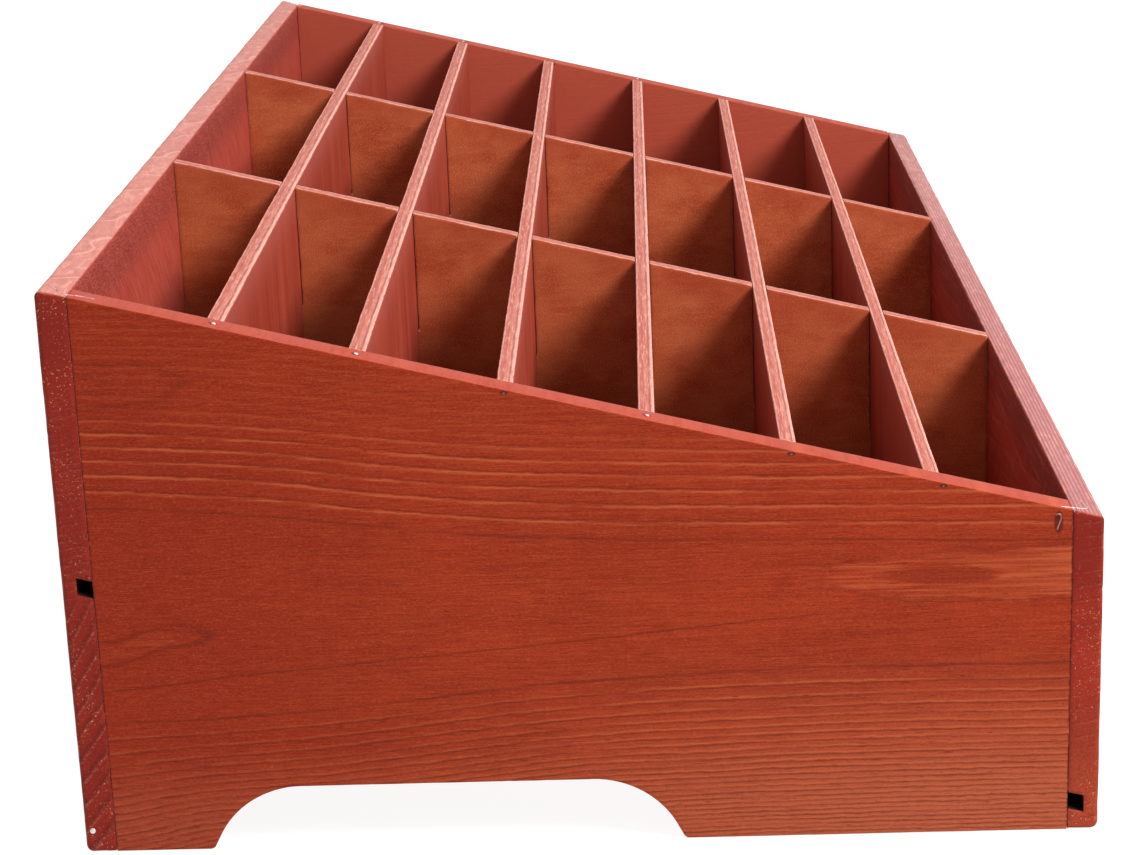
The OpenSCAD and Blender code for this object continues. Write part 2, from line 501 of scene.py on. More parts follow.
# Each corner nail: where it is on the rim, and its path from there, in steps along X and Y
CORNER_NAILS = [
    ((194.8, -364.4), [(-11.3, -4.0), (-5, -2.0), (0, 0), (-1.0, 4.5), (-2.2, 9.1)]),
    ((-193.0, -366.6), [(-4.5, 7.9), (-2.8, 8.0), (0, 4.0), (2.4, 0.0), (4.2, -0.3), (8.3, 1.6),
                        (11.9, 2.0), (14.9, 1.9)]),
]
BACK_NAIL = [(-8.5, 2.2), (-4.2, 1.0), (0, 0), (-0.9, -4.6), (-1.7, -9.0)]
CORNER_NAILS += [((end * 194.0, 364.5), [(end * x, y) for x, y in BACK_NAIL]) for end in (-1, 1)]


def smooth_path(points, count):
    """A path of count points that rounds the corners of a short polyline."""
    pts = np.array(points, float)
    for _ in range(3):
        cut = [pts[0]]
        for a, b in zip(pts[:-1], pts[1:]):
            cut += [a * 0.75 + b * 0.25, a * 0.25 + b * 0.75]
        cut.append(pts[-1])
        pts = np.array(cut)
    run = np.concatenate([[0], np.cumsum(np.linalg.norm(np.diff(pts, axis=0), axis=1))])
    at = np.linspace(0, run[-1], count)
    return np.stack([np.interp(at, run, pts[:, k]) for k in range(pts.shape[1])], 1)


def join(parts):
    """The vertices and faces of several meshes as those of one."""
    verts, faces = [], []
    for part_verts, part_faces in parts:
        faces += [tuple(k + len(verts) for k in face) for face in part_faces]
        verts += part_verts
    return verts, faces


def corner_nail_mesh(origin, path):
    """Vertices and faces of one bent strip, standing NAIL_DEPTH deep, its top edge a little proud."""
    pts = smooth_path(path, NAIL_POINTS) + np.array(origin)
    along = np.gradient(pts, axis=0)
    along /= np.linalg.norm(along, axis=1)[:, None]
    across = np.stack([-along[:, 1], along[:, 0]], 1)
    verts = []
    for p, w in zip(pts, across):
        for s, h in NAIL_SECTION:
            x, y = p + w * s * NAIL_STRIP
            verts.append((x, y, rim_z(x) + h))
    return verts, tube_faces(NAIL_POINTS, len(NAIL_SECTION))


def corner_nails():
    verts, faces = join([corner_nail_mesh(*nail) for nail in CORNER_NAILS])
    return make_piece("corner_nails_steel", verts, faces, {})


BRAD_R, BRAD_HEAD_R, BRAD_SIDES = 0.7, 1.15, 18
RIM_BRAD_LEAN, RIM_BRAD_LENGTH = 14, 18.0
FACE_BRAD_LEAN, FACE_BRAD_LENGTH = 74, 16.0
FACE_BRAD_HEAD_R, FACE_BRAD_DROP = 0.65, 1.35
BRAD_IN_RIM = [True, True, False, True, False, False]
# How far each brad stands to the side of its divider's middle
BRAD_ASIDE = [0.0, 0.0, 0.0, 0.0, 0.6, 3.4]


def circle(sides):
    """(cosine, sine) of each point round a ring."""
    turns = [2 * math.pi * s / sides for s in range(sides)]
    return [(math.cos(a), math.sin(a)) for a in turns]


def brad_mesh(length, turn, place, head=BRAD_HEAD_R):
    """A lathe-turned brad, head at the origin and shank down, turned by turn and put at place."""
    profile = [(0.0, 0.08), (head * 0.55, 0.06), (head * 0.86, -0.04), (head, -0.22),
               (head * 0.96, -0.46), (BRAD_R, -0.62), (BRAD_R, -length + 1.6), (0.12, -length)]
    verts = []
    for r, h in profile:
        verts += [tuple(turn @ Vector((r * c, r * s, h)) + Vector(place)) for c, s in circle(BRAD_SIDES)]
    return verts, tube_faces(len(profile), BRAD_SIDES)


def divider_brads(side):
    """The brads that hold the cross dividers at the front (side = -1) or the back (side = 1)."""
    parts, stain = [], []
    for i, in_rim in enumerate(BRAD_IN_RIM):
        x = float(cross_x(i, side * INNER_W)) + BRAD_ASIDE[i]
        y = side * (HALF_W - (SIDE_T / 2 if in_rim else FACE_SET_BACK))
        z = rim_z(x) - (0.0 if in_rim else FACE_BRAD_DROP)
        lean = math.radians(RIM_BRAD_LEAN if in_rim else FACE_BRAD_LEAN)
        turn = Matrix.Rotation(-side * lean, 3, "X")
        length = RIM_BRAD_LENGTH if in_rim else FACE_BRAD_LENGTH
        parts.append(brad_mesh(length, turn, (x, y, z), BRAD_HEAD_R if in_rim else FACE_BRAD_HEAD_R))
        stain += [0.0 if in_rim else 1.0] * len(parts[-1][0])
    name = "front_divider_brads_steel" if side < 0 else "back_divider_brads_steel"
    verts, faces = join(parts)
    return make_piece(name, verts, faces, {"stained": stain})


# The bent brad: its place from the end board and under the rim, its radius, and its hooked path
# from that place, in steps (along the panel, into its face, up)
BENT_INSET, BENT_DROP, BENT_R = 6.1, 1.2, 0.40
BENT_PATH = [(-1.2, 2.6, -3.2), (-0.6, 0.5, -2.2), (1.3, 0.35, -1.7), (1.7, 0.3, -3.4),
             (0.7, 0.35, -6.0), (0.1, 0.4, -8.0), (-0.1, 1.8, -9.2)]
BENT_POINTS, BENT_SIDES = 20, 12


def bent_brad():
    """A brad that missed the end board and was hammered flat into the front panel's face."""
    x = INNER_L - BENT_INSET
    pts = smooth_path(BENT_PATH, BENT_POINTS) + np.array([x, -HALF_W, rim_z(x) - BENT_DROP])
    verts = []
    for k, p in enumerate(pts):
        along = Vector(pts[min(k + 1, BENT_POINTS - 1)] - pts[max(k - 1, 0)]).normalized()
        wide = along.cross(Vector((0, 1, 0))).normalized()
        deep = wide.cross(along)
        for c, s in circle(BENT_SIDES):
            q = Vector(p) + wide * (BENT_R * c) + deep * (BENT_R * s)
            q.y = max(q.y, -HALF_W)
            verts.append(tuple(q))
    return make_piece("bent_brad_steel", verts, tube_faces(BENT_POINTS, BENT_SIDES), {})


# The foot brad: its length, and its place from the tall end, into the front edge and up
FOOT_BRAD_LENGTH = 12.0
FOOT_BRAD_PLACE = (3, 0.1, 9)


def foot_brad():
    turn = Matrix.Rotation(math.radians(90), 3, "X")
    inset, sunk, height = FOOT_BRAD_PLACE
    verts, faces = brad_mesh(FOOT_BRAD_LENGTH, turn, (inset - HALF_L, sunk - HALF_W, height))
    return make_piece("foot_brad_steel", verts, faces, {})


# ------------------------ node expressions

def operation(name):
    """A method of Expr that adds one Math node."""
    return lambda self, *others: self.math(name, *others)


class Expr:
    """A number inside a material: arithmetic on it adds Math nodes."""

    def __init__(self, graph, socket):
        self.graph, self.socket = graph, socket

    def math(self, op, *others, clamp=False):
        node = self.graph.nodes.new("ShaderNodeMath")
        node.operation = op
        node.use_clamp = clamp
        for k, value in enumerate((self, *others)):
            self.graph.plug(node.inputs[k], value)
        return Expr(self.graph, node.outputs[0])

    __add__ = __radd__ = operation("ADD")
    __sub__ = operation("SUBTRACT")
    __mul__ = __rmul__ = operation("MULTIPLY")
    __truediv__ = operation("DIVIDE")
    power = operation("POWER")
    max = operation("MAXIMUM")
    abs = operation("ABSOLUTE")
    tanh = operation("TANH")
    frac = operation("FRACT")
    sin = operation("SINE")

    def __rsub__(self, o):
        return self * -1.0 + o

    def __rtruediv__(self, o):
        return self.power(-1.0) * o

    def clamp(self):
        return self.math("ADD", 0.0, clamp=True)

    def bell(self, width):
        """1 where self is 0, falling away smoothly over width on both sides."""
        scaled = self / width
        return (scaled * scaled * -1.0).math("EXPONENT")

    def ramp(self, lo, hi):
        """0 below lo, 1 above hi, smooth between them; lo may be above hi."""
        node = self.graph.nodes.new("ShaderNodeMapRange")
        node.interpolation_type = "SMOOTHSTEP"
        flip = lo > hi
        self.graph.plug(node.inputs[0], self)
        node.inputs[1].default_value = min(lo, hi)
        node.inputs[2].default_value = max(lo, hi)
        node.inputs[3].default_value = 1.0 if flip else 0.0
        node.inputs[4].default_value = 0.0 if flip else 1.0
        return Expr(self.graph, node.outputs[0])


class Graph:
    """A material under construction. Its x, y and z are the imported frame's, in millimetres."""

    def __init__(self, name):
        self.material = bpy.data.materials.new(name)
        self.material.use_nodes = True
        self.nodes = self.material.node_tree.nodes
        self.links = self.material.node_tree.links
        self.nodes.clear()
        self.shader = self.nodes.new("ShaderNodeBsdfPrincipled")
        output = self.nodes.new("ShaderNodeOutputMaterial")
        self.links.new(self.shader.outputs[0], output.inputs[0])
        self.spot = self.nodes.new("ShaderNodeTexCoord").outputs["Object"]
        parts = self.nodes.new("ShaderNodeSeparateXYZ")
        self.links.new(self.spot, parts.inputs[0])
        self.x, self.y, self.z = (Expr(self, s) * (1 / MM) for s in parts.outputs)
        facing = self.nodes.new("ShaderNodeSeparateXYZ")
        geometry = self.nodes.new("ShaderNodeNewGeometry")
        self.links.new(geometry.outputs["Normal"], facing.inputs[0])
        self.nx, self.ny, self.nz = (Expr(self, s) for s in facing.outputs)

    def plug(self, socket, value):
        """Sets a socket from an Expr, another socket or a plain value."""
        if isinstance(value, Expr):
            self.links.new(value.socket, socket)
        elif hasattr(value, "is_output"):
            self.links.new(value, socket)
        else:
            socket.default_value = value

    def vector(self, x, y, z):
        node = self.nodes.new("ShaderNodeCombineXYZ")
        for socket, value in zip(node.inputs, (x, y, z)):
            self.plug(socket, value)
        return node.outputs[0]

    def noise(self, size, detail=3.0, rough=0.55, seed=0.0, bend=0.0, at=None):
        """Noise from 0 to 1 whose blotches are size = (x, y, z) millimetres across."""
        x, y, z = at or (self.x, self.y, self.z)
        node = self.nodes.new("ShaderNodeTexNoise")
        place = self.vector(x * (1 / size[0]) + seed, y * (1 / size[1]) + seed * 1.7,
                            z * (1 / size[2]) - seed)
        self.links.new(place, node.inputs["Vector"])
        node.inputs["Scale"].default_value = 1.0
        node.inputs["Detail"].default_value = detail
        node.inputs["Roughness"].default_value = rough
        node.inputs["Distortion"].default_value = bend
        return Expr(self, node.outputs["Fac"])

    def attribute(self, name):
        node = self.nodes.new("ShaderNodeAttribute")
        node.attribute_name = name
        return Expr(self, node.outputs["Fac"])

    def mix(self, share, a, b):
        """Colour a, turning into colour b as share goes from 0 to 1."""
        node = self.nodes.new("ShaderNodeMix")
        node.data_type = "RGBA"
        self.plug(node.inputs[0], share)
        for socket, value in ((node.inputs[6], a), (node.inputs[7], b)):
            if isinstance(value, tuple):
                socket.default_value = (*value, 1.0)
            else:
                self.plug(socket, value)
        return node.outputs[2]

    def paint(self, colour, *layers):
        """The colour with layers laid over it in turn, each (share, tint)."""
        for share, tint in layers:
            colour = self.mix(share, colour, tint)
        return colour

    def finish(self, colour, rough, height=None, bump=1.0, **sockets):
        """The finished material; height is relief in millimetres, sockets the shader's other ones."""
        self.plug(self.shader.inputs["Base Color"], colour)
        self.plug(self.shader.inputs["Roughness"], rough)
        for name, value in sockets.items():
            self.shader.inputs[name.replace("_", " ")].default_value = value
        if height is not None:
            node = self.nodes.new("ShaderNodeBump")
            node.inputs["Strength"].default_value = bump
            node.inputs["Distance"].default_value = MM
            self.plug(node.inputs["Height"], height)
            self.links.new(node.outputs[0], self.shader.inputs["Normal"])
        return self.material


# ------------------------ tints, as linear red, green, blue

# Side panels
SIDE_DEEP = (0.192, 0.0125, 0.0036)
SIDE_WARM = (0.252, 0.0205, 0.005)
SIDE_GOLD = (0.33, 0.042, 0.0115)
# A paler tint for the panels' lower part: painted light from the floor
SIDE_FLOOR_LIT = (0.4, 0.098, 0.047)
SIDE_LIGHT = (0.43, 0.092, 0.032)
SIDE_DARK = (0.105, 0.011, 0.0035)
SIDE_INNER = (0.4, 0.082, 0.052)
# The side panels' upward faces: their red made paler with painted sheen
RIM_RED_SHEEN = (0.275, 0.049, 0.031)
# Wear and dirt on all the boards, and a near black for painted shade
DUST = (0.6, 0.27, 0.17)
WORN = (0.52, 0.17, 0.11)
# Near black painted where shade falls: inside the grooves and along the bottom board's side edges
SHADE_BLACK = (0.01, 0.003, 0.0025)
STAIN_EDGE = (0.07, 0.008, 0.006)
# End boards: body, sawn inner faces and rims
END_DEEP = (0.205, 0.0135, 0.0055)
END_WARM = (0.28, 0.0235, 0.01)
END_GOLD = (0.33, 0.042, 0.02)
END_GRAIN = (0.15, 0.0105, 0.0065)
END_PURPLE = (0.13, 0.022, 0.021)
SAW_BASE = (0.385, 0.074, 0.052)
SAW_LIGHT = (0.41, 0.096, 0.07)
# The rims' pink and grey: the wood's red with painted sheen
RIM_PINK_SHEEN = (0.345, 0.14, 0.112)
RIM_GREY_SHEEN = (0.285, 0.142, 0.132)
RIM_PALE = (0.56, 0.29, 0.245)
RIM_SHADE = (0.23, 0.055, 0.056)
# Faces of the plywood that stands across the box and along it
CROSS_DEEP = (0.205, 0.023, 0.012)
CROSS_WARM = (0.285, 0.043, 0.023)
CROSS_GOLD = (0.35, 0.074, 0.041)
# Grey painted sheen near the top of the cross dividers' faces
CROSS_GREY_SHEEN = (0.33, 0.088, 0.068)
LONG_DEEP = (0.3, 0.045, 0.015)
LONG_WARM = (0.4, 0.09, 0.034)
LONG_GOLD = (0.58, 0.195, 0.09)
LONG_RED = (0.32, 0.048, 0.02)
# Edges of the plywood
PLY_RIM = (0.34, 0.113, 0.081)
PLY_RED = (0.265, 0.056, 0.037)
PLY_LAYER = (0.13, 0.038, 0.037)
PLY_WORN = (0.62, 0.34, 0.275)
# Steel
STEEL_BRIGHT = (0.78, 0.74, 0.72)
STEEL_STRIP = (0.5, 0.37, 0.35)
STEEL_DARK = (0.3, 0.17, 0.14)
STEEL_STAIN = (0.3, 0.06, 0.04)


# ------------------------ wood

def rim_height(g):
    """How high the box's sloping rim is over each point."""
    return g.x * SLOPE + (TALL_H + SLOPE * HALF_L)


def ring_lines(rings, pitch, dark_width, light_width):
    """(dark, light) masks of the growth rings' lines; the light one lies just inside each dark one.

    pitch is the rings per millimetre there, and the widths are in millimetres.
    """
    away = (rings.frac() - 0.5) / pitch
    dark = away.bell(dark_width)
    light = (away + dark_width + light_width).bell(light_width)
    return dark, light


def oval(x, z, middle, half, power=2.0):
    """Distance from the middle of an oval, 1 on its edge; a higher power makes its ends blunter."""
    across = ((x - middle[0]) / half[0]).abs().power(power)
    up = ((z - middle[1]) / half[1]).abs().power(2.0)
    return (across + up).power(1 / power)


# Growth rings of the side panels: the lower set goes down from LOW_TOP and the upper one up from
# HIGH_FOOT; each has its rings per millimetre there, and how fast they crowd together
LOW_TOP, LOW_RINGS = 62.5, (0.1448, 0.00292)
HIGH_FOOT, HIGH_RINGS = 133.0, (0.1277, 0.00108)


def crowding_rings(depth, rings):
    """(rings, rings per millimetre, where) at a depth into a set of rings."""
    inside = depth.ramp(-1.2, -0.2)
    depth = depth.max(0)
    pitch, growth = rings
    return depth * pitch + depth * depth * growth + 0.5, depth * (2 * growth) + pitch, inside


def plank_lines(g, x, z):
    """(dark, light) masks of the rings at the foot and at the rim of a flat-sawn plank's face."""
    low = LOW_TOP - (z - ((x + 55) / 75).tanh() * 8.5)
    low = low - (x + 140).ramp(0, -60) * low.max(0) * 0.16
    high = z + ((x + 90) / 60).tanh() * 6.5 + x * 0.028 - HIGH_FOOT
    low_rings, low_pitch, lower = crowding_rings(low, LOW_RINGS)
    high_rings, high_pitch, upper = crowding_rings(high, HIGH_RINGS)
    low_dark, low_light = ring_lines(low_rings, low_pitch, 0.40, 0.5)
    high_dark, high_light = ring_lines(high_rings, high_pitch, 0.40, 0.6)
    upper = upper * ((high_rings - 8.0).ramp(0, -3) * 0.8 + 0.2)
    thin = g.noise((48, 60, 2.6), rough=0.6, seed=5.5).ramp(0.28, 0.62)
    dark = (low_dark * lower + high_dark * upper) * (thin * 0.8 + 0.25)
    light = (low_light * lower * (x.ramp(-80, 80) * 0.6 + 0.4) + high_light * upper) * thin
    return dark, light


def plank_marks(g, x, z):
    """(dark, light) masks of what is odd on the side panel between its two sets of rings."""
    ripple = g.noise((18, 60, 4), detail=4, rough=0.6, seed=1.4) - 0.5
    bands = g.noise((60, 60, 1.5), detail=2, rough=0.5, seed=7.1).ramp(0.42, 0.66)
    # one long line that drifts up to the right, and the step where two arches meet
    drift = z - (x + 187) * 0.0885 - 68.5
    dark = drift.bell(0.42) * x.ramp(102, 84) * 0.9
    dark = dark + (z - 97.4).bell(0.3) * x.ramp(112, 128) * 0.6
    # rings that open to the right round a dark core
    arch = oval(x, z, (205, 108.3), (121, 10.6), 3.0) + ripple * 0.5
    inside = arch.ramp(1.04, 0.93) * x.ramp(72, 100)
    core = oval(x, z, (139, 108.2), (23, 4.2)) + ripple * 0.9
    light = inside * (bands * 0.75 + x.ramp(120, 186) * 0.25) * core.ramp(0.75, 1.15)
    dark = dark + inside * core.ramp(1.1, 0.6) * 0.45 + (arch - 1).bell(0.05) * x.ramp(76, 96) * 0.4
    # a blunt tongue at the left
    sag = x.ramp(-158, -184) * 7.0
    tongue = oval(x, z + sag, (-196, 91.5), (51, 4.8), 7.0) + ripple * 0.12
    dark = dark + (tongue - 1).bell(0.055) * z.ramp(97, 94) * 0.75
    light = light + tongue.ramp(1.0, 0.8) * bands * 0.25
    # a broken arch high up at the left
    tip = oval(x, z, (-192, 193), (43, 9), 3.0) + ripple * 0.5
    dark = dark + (tip - 1).bell(0.06) * 0.55 + (tip - 0.55).bell(0.08) * 0.3
    return dark, light


def inward_face(g):
    """1 on the faces of the side panels that look into the box."""
    return (g.ny * g.y.ramp(1, -1) - g.ny * g.y.ramp(-1, 1)).ramp(0.4, 0.8)


def brad_marks(g):
    """The dark stain round each brad that was driven into a side panel, and round the bent one."""
    rim = g.nz.ramp(0.5, 0.8)
    marks = 0
    for i, in_rim in enumerate(BRAD_IN_RIM):
        x = float(cross_x(i, -INNER_W)) + BRAD_ASIDE[i]
        dx = g.x - x
        if in_rim:
            dy = g.y.abs() - (HALF_W - SIDE_T / 2)
            marks = (dx * dx + dy * dy).power(0.5).ramp(2.0, 1.2) * rim + marks
        else:
            dz = (g.z - rim_z(x) + FACE_BRAD_DROP) * 1.9
            marks = (dx * dx + dz * dz).power(0.5).ramp(1.9, 1.1) * (1 - rim) + marks
    x = INNER_L - BENT_INSET + 0.7
    bent = oval(g.x, g.z, (x, rim_z(x) - BENT_DROP - 5.0), (1.7, 4.6)).ramp(1.2, 0.8)
    return (bent * g.y.ramp(1, -1) * 0.9 + marks).clamp()


def plank_colours(g, dark, light):
    """Colours a plank whose rings' dark and light lines are given, with the grain along X."""
    fibre = g.noise((26, 30, 0.55), rough=0.62, seed=2.2)
    fine = g.noise((5, 7, 0.30), rough=0.7, seed=6.1)
    grit = g.noise((1.3, 1.3, 0.5), detail=2, rough=0.7, seed=3.7)
    blotch = g.noise((60, 60, 26), rough=0.6, seed=4.4)
    cloud = g.noise((16, 16, 7), rough=0.6, seed=1.8)
    pore = g.noise((5.5, 6, 0.42), detail=1, rough=0.4, seed=9.9).ramp(0.66, 0.76)
    speck = g.noise((0.8, 0.8, 0.6), detail=1, seed=7.7).ramp(0.76, 0.82)

    colour = g.paint(
        g.mix(blotch.ramp(0.3, 0.72), SIDE_DEEP, SIDE_WARM),
        (fibre.ramp(0.25, 0.8) * 0.6, SIDE_GOLD),
        (cloud.ramp(0.55, 0.75) * 0.3, SIDE_DEEP),
        (g.x.ramp(-20, -170) * 0.7, SIDE_DEEP),
    )
    # Paler towards the foot, and low down towards the short end: painted light from the floor
    floor_lit = g.x.ramp(-120, 200) * g.z.ramp(90, 10) + g.z.ramp(48, 8) * 0.55
    colour = g.paint(
        colour, ((floor_lit * 0.5).clamp(), SIDE_FLOOR_LIT),
        (fine.ramp(0.5, 0.3) * 0.38, SIDE_DARK),
        (fine.ramp(0.5, 0.7) * 0.24, SIDE_LIGHT),
        (grit.ramp(0.5, 0.72) * 0.28, SIDE_LIGHT),
        (grit.ramp(0.5, 0.28) * 0.34, SIDE_DARK),
        (light * 0.6, SIDE_LIGHT),
        (dark * 0.6, SIDE_DARK),
        (pore * 0.55, SIDE_DARK),
        (speck * 0.4, DUST),
        (inward_face(g) * 0.65, SIDE_INNER),
    )
    # Upward faces turn a paler red: painted sheen from the light above
    rim = g.nz.ramp(0.6, 0.9)
    colour = g.mix(rim * (fibre.ramp(0.3, 0.7) * 0.3 + 0.5), colour, RIM_RED_SHEEN)
    wear = g.attribute("arris") * g.noise((9, 9, 9), seed=2.9).ramp(0.35, 0.6)
    colour = g.paint(
        colour, (wear * 0.6, WORN),
        (seam(g, 0.45, 0.55) * 0.9, STAIN_EDGE),
        (brad_marks(g) * 0.85, STAIN_EDGE),
    )
    height = fibre * 0.05 + fine * 0.04 + grit * 0.03 - dark * 0.05 - pore * 0.06 + blotch * 0.1
    rough = fibre * 0.12 + 0.36 + fine * 0.08
    return g.finish(colour, rough, height, bump=0.8, IOR=1.45, Specular_IOR_Level=0.08)


def seam(g, width, full):
    """The broken dark line where the side panels meet the end boards; noise over full is solid."""
    broken = g.noise((3, 3, 2.2), detail=2, seed=4.1).ramp(0.3, full)
    return (g.x.abs() - INNER_L).bell(width) * broken


def side_panel_wood():
    """Flat-sawn softwood with the grain along X; at the back it is turned end for end."""
    g = Graph("side_panel_wood")
    front = g.y.ramp(1, -1)
    sway = g.noise((90, 400, 40), detail=2, seed=3.1) - 0.5
    jitter = g.noise((7, 400, 2.5), detail=4, rough=0.65, seed=8.3) - 0.5
    smear = g.noise((9, 60, 1.4), seed=2.6) - 0.5
    x = g.x * (front * 2 - 1) + smear * 9
    z = g.z + (1 - front) * (g.x * 0.03 + 9) + sway * 3.2 + jitter * 1.7
    ring_dark, ring_light = plank_lines(g, x, z)
    mark_dark, mark_light = plank_marks(g, x, z)
    knock = oval(g.x, g.z, (-185.4, 4.8), (1.7, 0.45)).ramp(1.3, 0.7) * front
    shade = 1 - inward_face(g) * 0.6
    dark = ((ring_dark + mark_dark) * shade + knock).clamp()
    light = ((ring_light + mark_light) * shade).clamp()
    return plank_colours(g, dark, light)


# ------------------------ end boards' wood

class EndParts:
    """Masks of the end boards' faces, and the noises that several of their layers share."""

    def __init__(self, g):
        self.tall = g.x.ramp(1, -1)
        self.short = 1 - self.tall
        self.local = g.x + (self.tall * 2 - 1) * (HALF_L - END_T / 2)
        self.outward = self.local * (1 - self.tall * 2)
        self.edge = g.ny.abs().ramp(0.6, 0.9)
        self.rim = g.nz.ramp(0.6, 0.9)
        facing = g.nx * (self.tall * 2 - 1)
        self.inner = facing.ramp(0.5, 0.8)
        self.outer = facing.ramp(-0.5, -0.8)
        self.under = g.z - rim_height(g)
        self.wave = g.noise((300, 210, 60), detail=2, seed=2.5) - 0.5
        self.fibre = g.noise((0.5, 34, 0.6), rough=0.6, seed=1.2)
        self.blotch = g.noise((40, 90, 30), seed=8.8)


def outer_figure(g):
    """(dark, light) growth-ring lines on the end boards' big outer faces, with the grain along Y."""
    sweep_noise = g.noise((1, 900, 150), detail=0, seed=6.7, at=(g.x * 0.001, g.y, g.z))
    jitter = g.noise((40, 14, 2.5), detail=4, rough=0.65, seed=3.3) - 0.5
    wobble = g.noise((1, 160, 30), detail=2, seed=2.2, at=(g.x * 0.001, g.y, g.z)) - 0.5
    pitch = 0.115
    rings = (g.z * 0.8 + g.y * 0.07 + sweep_noise * 110 + wobble * 6 + jitter * 1.6) * pitch
    thin = g.noise((40, 80, 3), rough=0.6, seed=4.6).ramp(0.3, 0.6)
    dark, light = ring_lines(rings, pitch, 0.42, 0.6)
    return dark * (thin * 0.7 + 0.3), light * thin


def edge_figure(g, part):
    """(dark, light) growth-ring lines on the narrow front and back edges of the end boards."""
    ripple = g.noise((3, 60, 2.2), rough=0.65, seed=5.2) - 0.5
    broken = g.noise((3, 60, 1.1), detail=2, rough=0.6, seed=6.6).ramp(0.40, 0.58)
    plain = g.noise((40, 90, 22), detail=1, seed=4.5).ramp(0.36, 0.6)
    pitch = 1 / (3.1 + part.short * 2.4)
    fine = (g.z - part.local * 0.16 + part.wave * 16 + ripple * 2.2) * pitch
    fine_dark, fine_light = ring_lines(fine, pitch, 0.30, 0.4)
    broad_pitch = 1 / 10.5
    tilt = (g.z - 40) / 70 * 0.5 + 1.35
    broad = (g.z - part.local * tilt + ripple * 2.5 + part.wave * 10) * broad_pitch
    broad_dark, broad_light = ring_lines(broad, broad_pitch, 1.7, 0.8)
    lower = part.tall * g.z.ramp(112, 98)
    upper = (1 - lower) * (1 - part.tall * g.z.ramp(180, 200)) * plain * broken
    dark = fine_dark * upper * 0.75 + broad_dark * lower * (broken * 0.4 + 0.45)
    light = fine_light * upper * 0.5 + broad_light * lower * broken
    return dark, light


def end_faces(g, part):
    """Colour and height of the end boards' planed outer faces and of their narrow edges."""
    pore = g.noise((0.6, 0.6, 0.6), detail=2, rough=0.7, seed=3.3)
    speck = g.noise((0.75, 0.75, 0.75), detail=1, seed=4.9).ramp(0.66, 0.74)
    edge, outer, fibre, blotch = part.edge, part.outer, part.fibre, part.blotch
    edge_dark, edge_light = edge_figure(g, part)
    outer_dark, outer_light = outer_figure(g)
    colour = g.paint(
        g.mix(blotch.ramp(0.3, 0.7), END_DEEP, END_WARM),
        (fibre.ramp(0.3, 0.75) * (1 - edge) * 0.5, END_GOLD),
        (outer * 0.7, SIDE_WARM),
        (outer * fibre.ramp(0.3, 0.75) * 0.5, SIDE_GOLD),
        (outer * fibre.ramp(0.5, 0.25) * 0.3, SIDE_DARK),
    )
    figured = outer + part.inner * part.short * 1.5
    colour = g.paint(
        colour, (figured * outer_dark * 0.5, SIDE_DARK),
        (figured * outer_light * 0.35, SIDE_LIGHT),
        (edge * part.short * g.z.ramp(70, 15) * 0.3, SIDE_LIGHT),
        (edge * (pore.ramp(0.4, 0.65) * 0.45 + part.tall * 0.4), END_GRAIN),
        (edge * part.under.ramp(-46, -10) * 0.5, END_GRAIN),
        (edge * edge_light * (speck * 0.7 + 0.15), DUST),
        (edge * edge_dark * 0.62, STAIN_EDGE),
        (edge * speck * (blotch.ramp(0.4, 0.6) * 0.5 + 0.1), DUST),
    )
    height = (fibre * 0.06 + blotch * 0.08 - edge * edge_dark * 0.05 - outer * outer_dark * 0.05
              + edge * pore * 0.1)
    return colour, height


def end_inner_faces(g, part, colour):
    """Saw marks slant across the inner faces, which are darker and rougher just under the rim."""
    inner = part.inner
    saw = g.noise((1, 1.1, 30), detail=4, rough=0.65, seed=2.0,
                  at=(g.x * 0.2, g.y + g.z * 0.9, g.z - g.y * 0.9))
    fleck = g.noise((1, 3.2, 0.7), rough=0.7, seed=6.3).ramp(0.45, 0.62)
    grain = g.noise((1, 60, 2.4), rough=0.6, seed=9.1)
    shoulder = inner * (part.under + 4 + part.wave * 14).ramp(-26, -8)
    colour = g.paint(
        colour, (inner * (part.tall * 0.3 + 0.15), SAW_BASE),
        (inner * saw.ramp(0.45, 0.7) * 0.45, SAW_LIGHT),
        (inner * saw.ramp(0.5, 0.3) * 0.45, END_GRAIN),
        (shoulder * (fleck * 0.45 + 0.2 + part.short * 0.15), END_PURPLE),
        (inner * part.short * grain.ramp(0.54, 0.68) * 0.5, SAW_LIGHT),
        (inner * part.short * grain.ramp(0.46, 0.32) * 0.35, END_PURPLE),
    )
    return colour, inner * saw * 0.3 + shoulder * fleck * 0.15


RIDGE_PITCH = 1.7
SLANT_PITCH = 1 / 31


def end_rims(g, part, colour):
    """Rims with painted sheen: scuffed and streaked at the tall end, ridged along their length at the
    short end.
    """
    rim = part.rim
    drift = (g.noise((400, 150, 400), detail=1, seed=5.1) - 0.5) * 2.0
    ridges = ((part.local + drift) * (2 * math.pi / RIDGE_PITCH)).sin() * 0.5 + 0.5
    ridges = rim * ridges * part.short * (g.y.ramp(250, -100) * 0.5 + 0.5)
    scuff = g.noise((5, 16, 5), detail=4, rough=0.65, bend=1.5, seed=1.5)
    sway = g.noise((60, 60, 60), detail=2, seed=7.2)
    slant = (g.y * 0.7 + part.outward * 1.3 + sway * 60) * SLANT_PITCH
    slant_dark, slant_light = ring_lines(slant, SLANT_PITCH, 2.4, 0.8)
    # The rims' pink and grey tints are painted sheen
    colour = g.paint(
        g.mix(rim * 0.85, colour, g.mix(part.tall, RIM_GREY_SHEEN, RIM_PINK_SHEEN)),
        (rim * scuff.ramp(0.5, 0.66) * 0.3, RIM_PALE),
        (rim * scuff.ramp(0.5, 0.34) * 0.3, RIM_SHADE),
        (rim * part.tall * slant_dark * 0.22, RIM_SHADE),
        (rim * part.tall * slant_light * 0.35, RIM_PALE),
        (ridges * (part.fibre * 0.5 + 0.55), RIM_SHADE),
    )
    return colour, ridges * -0.3


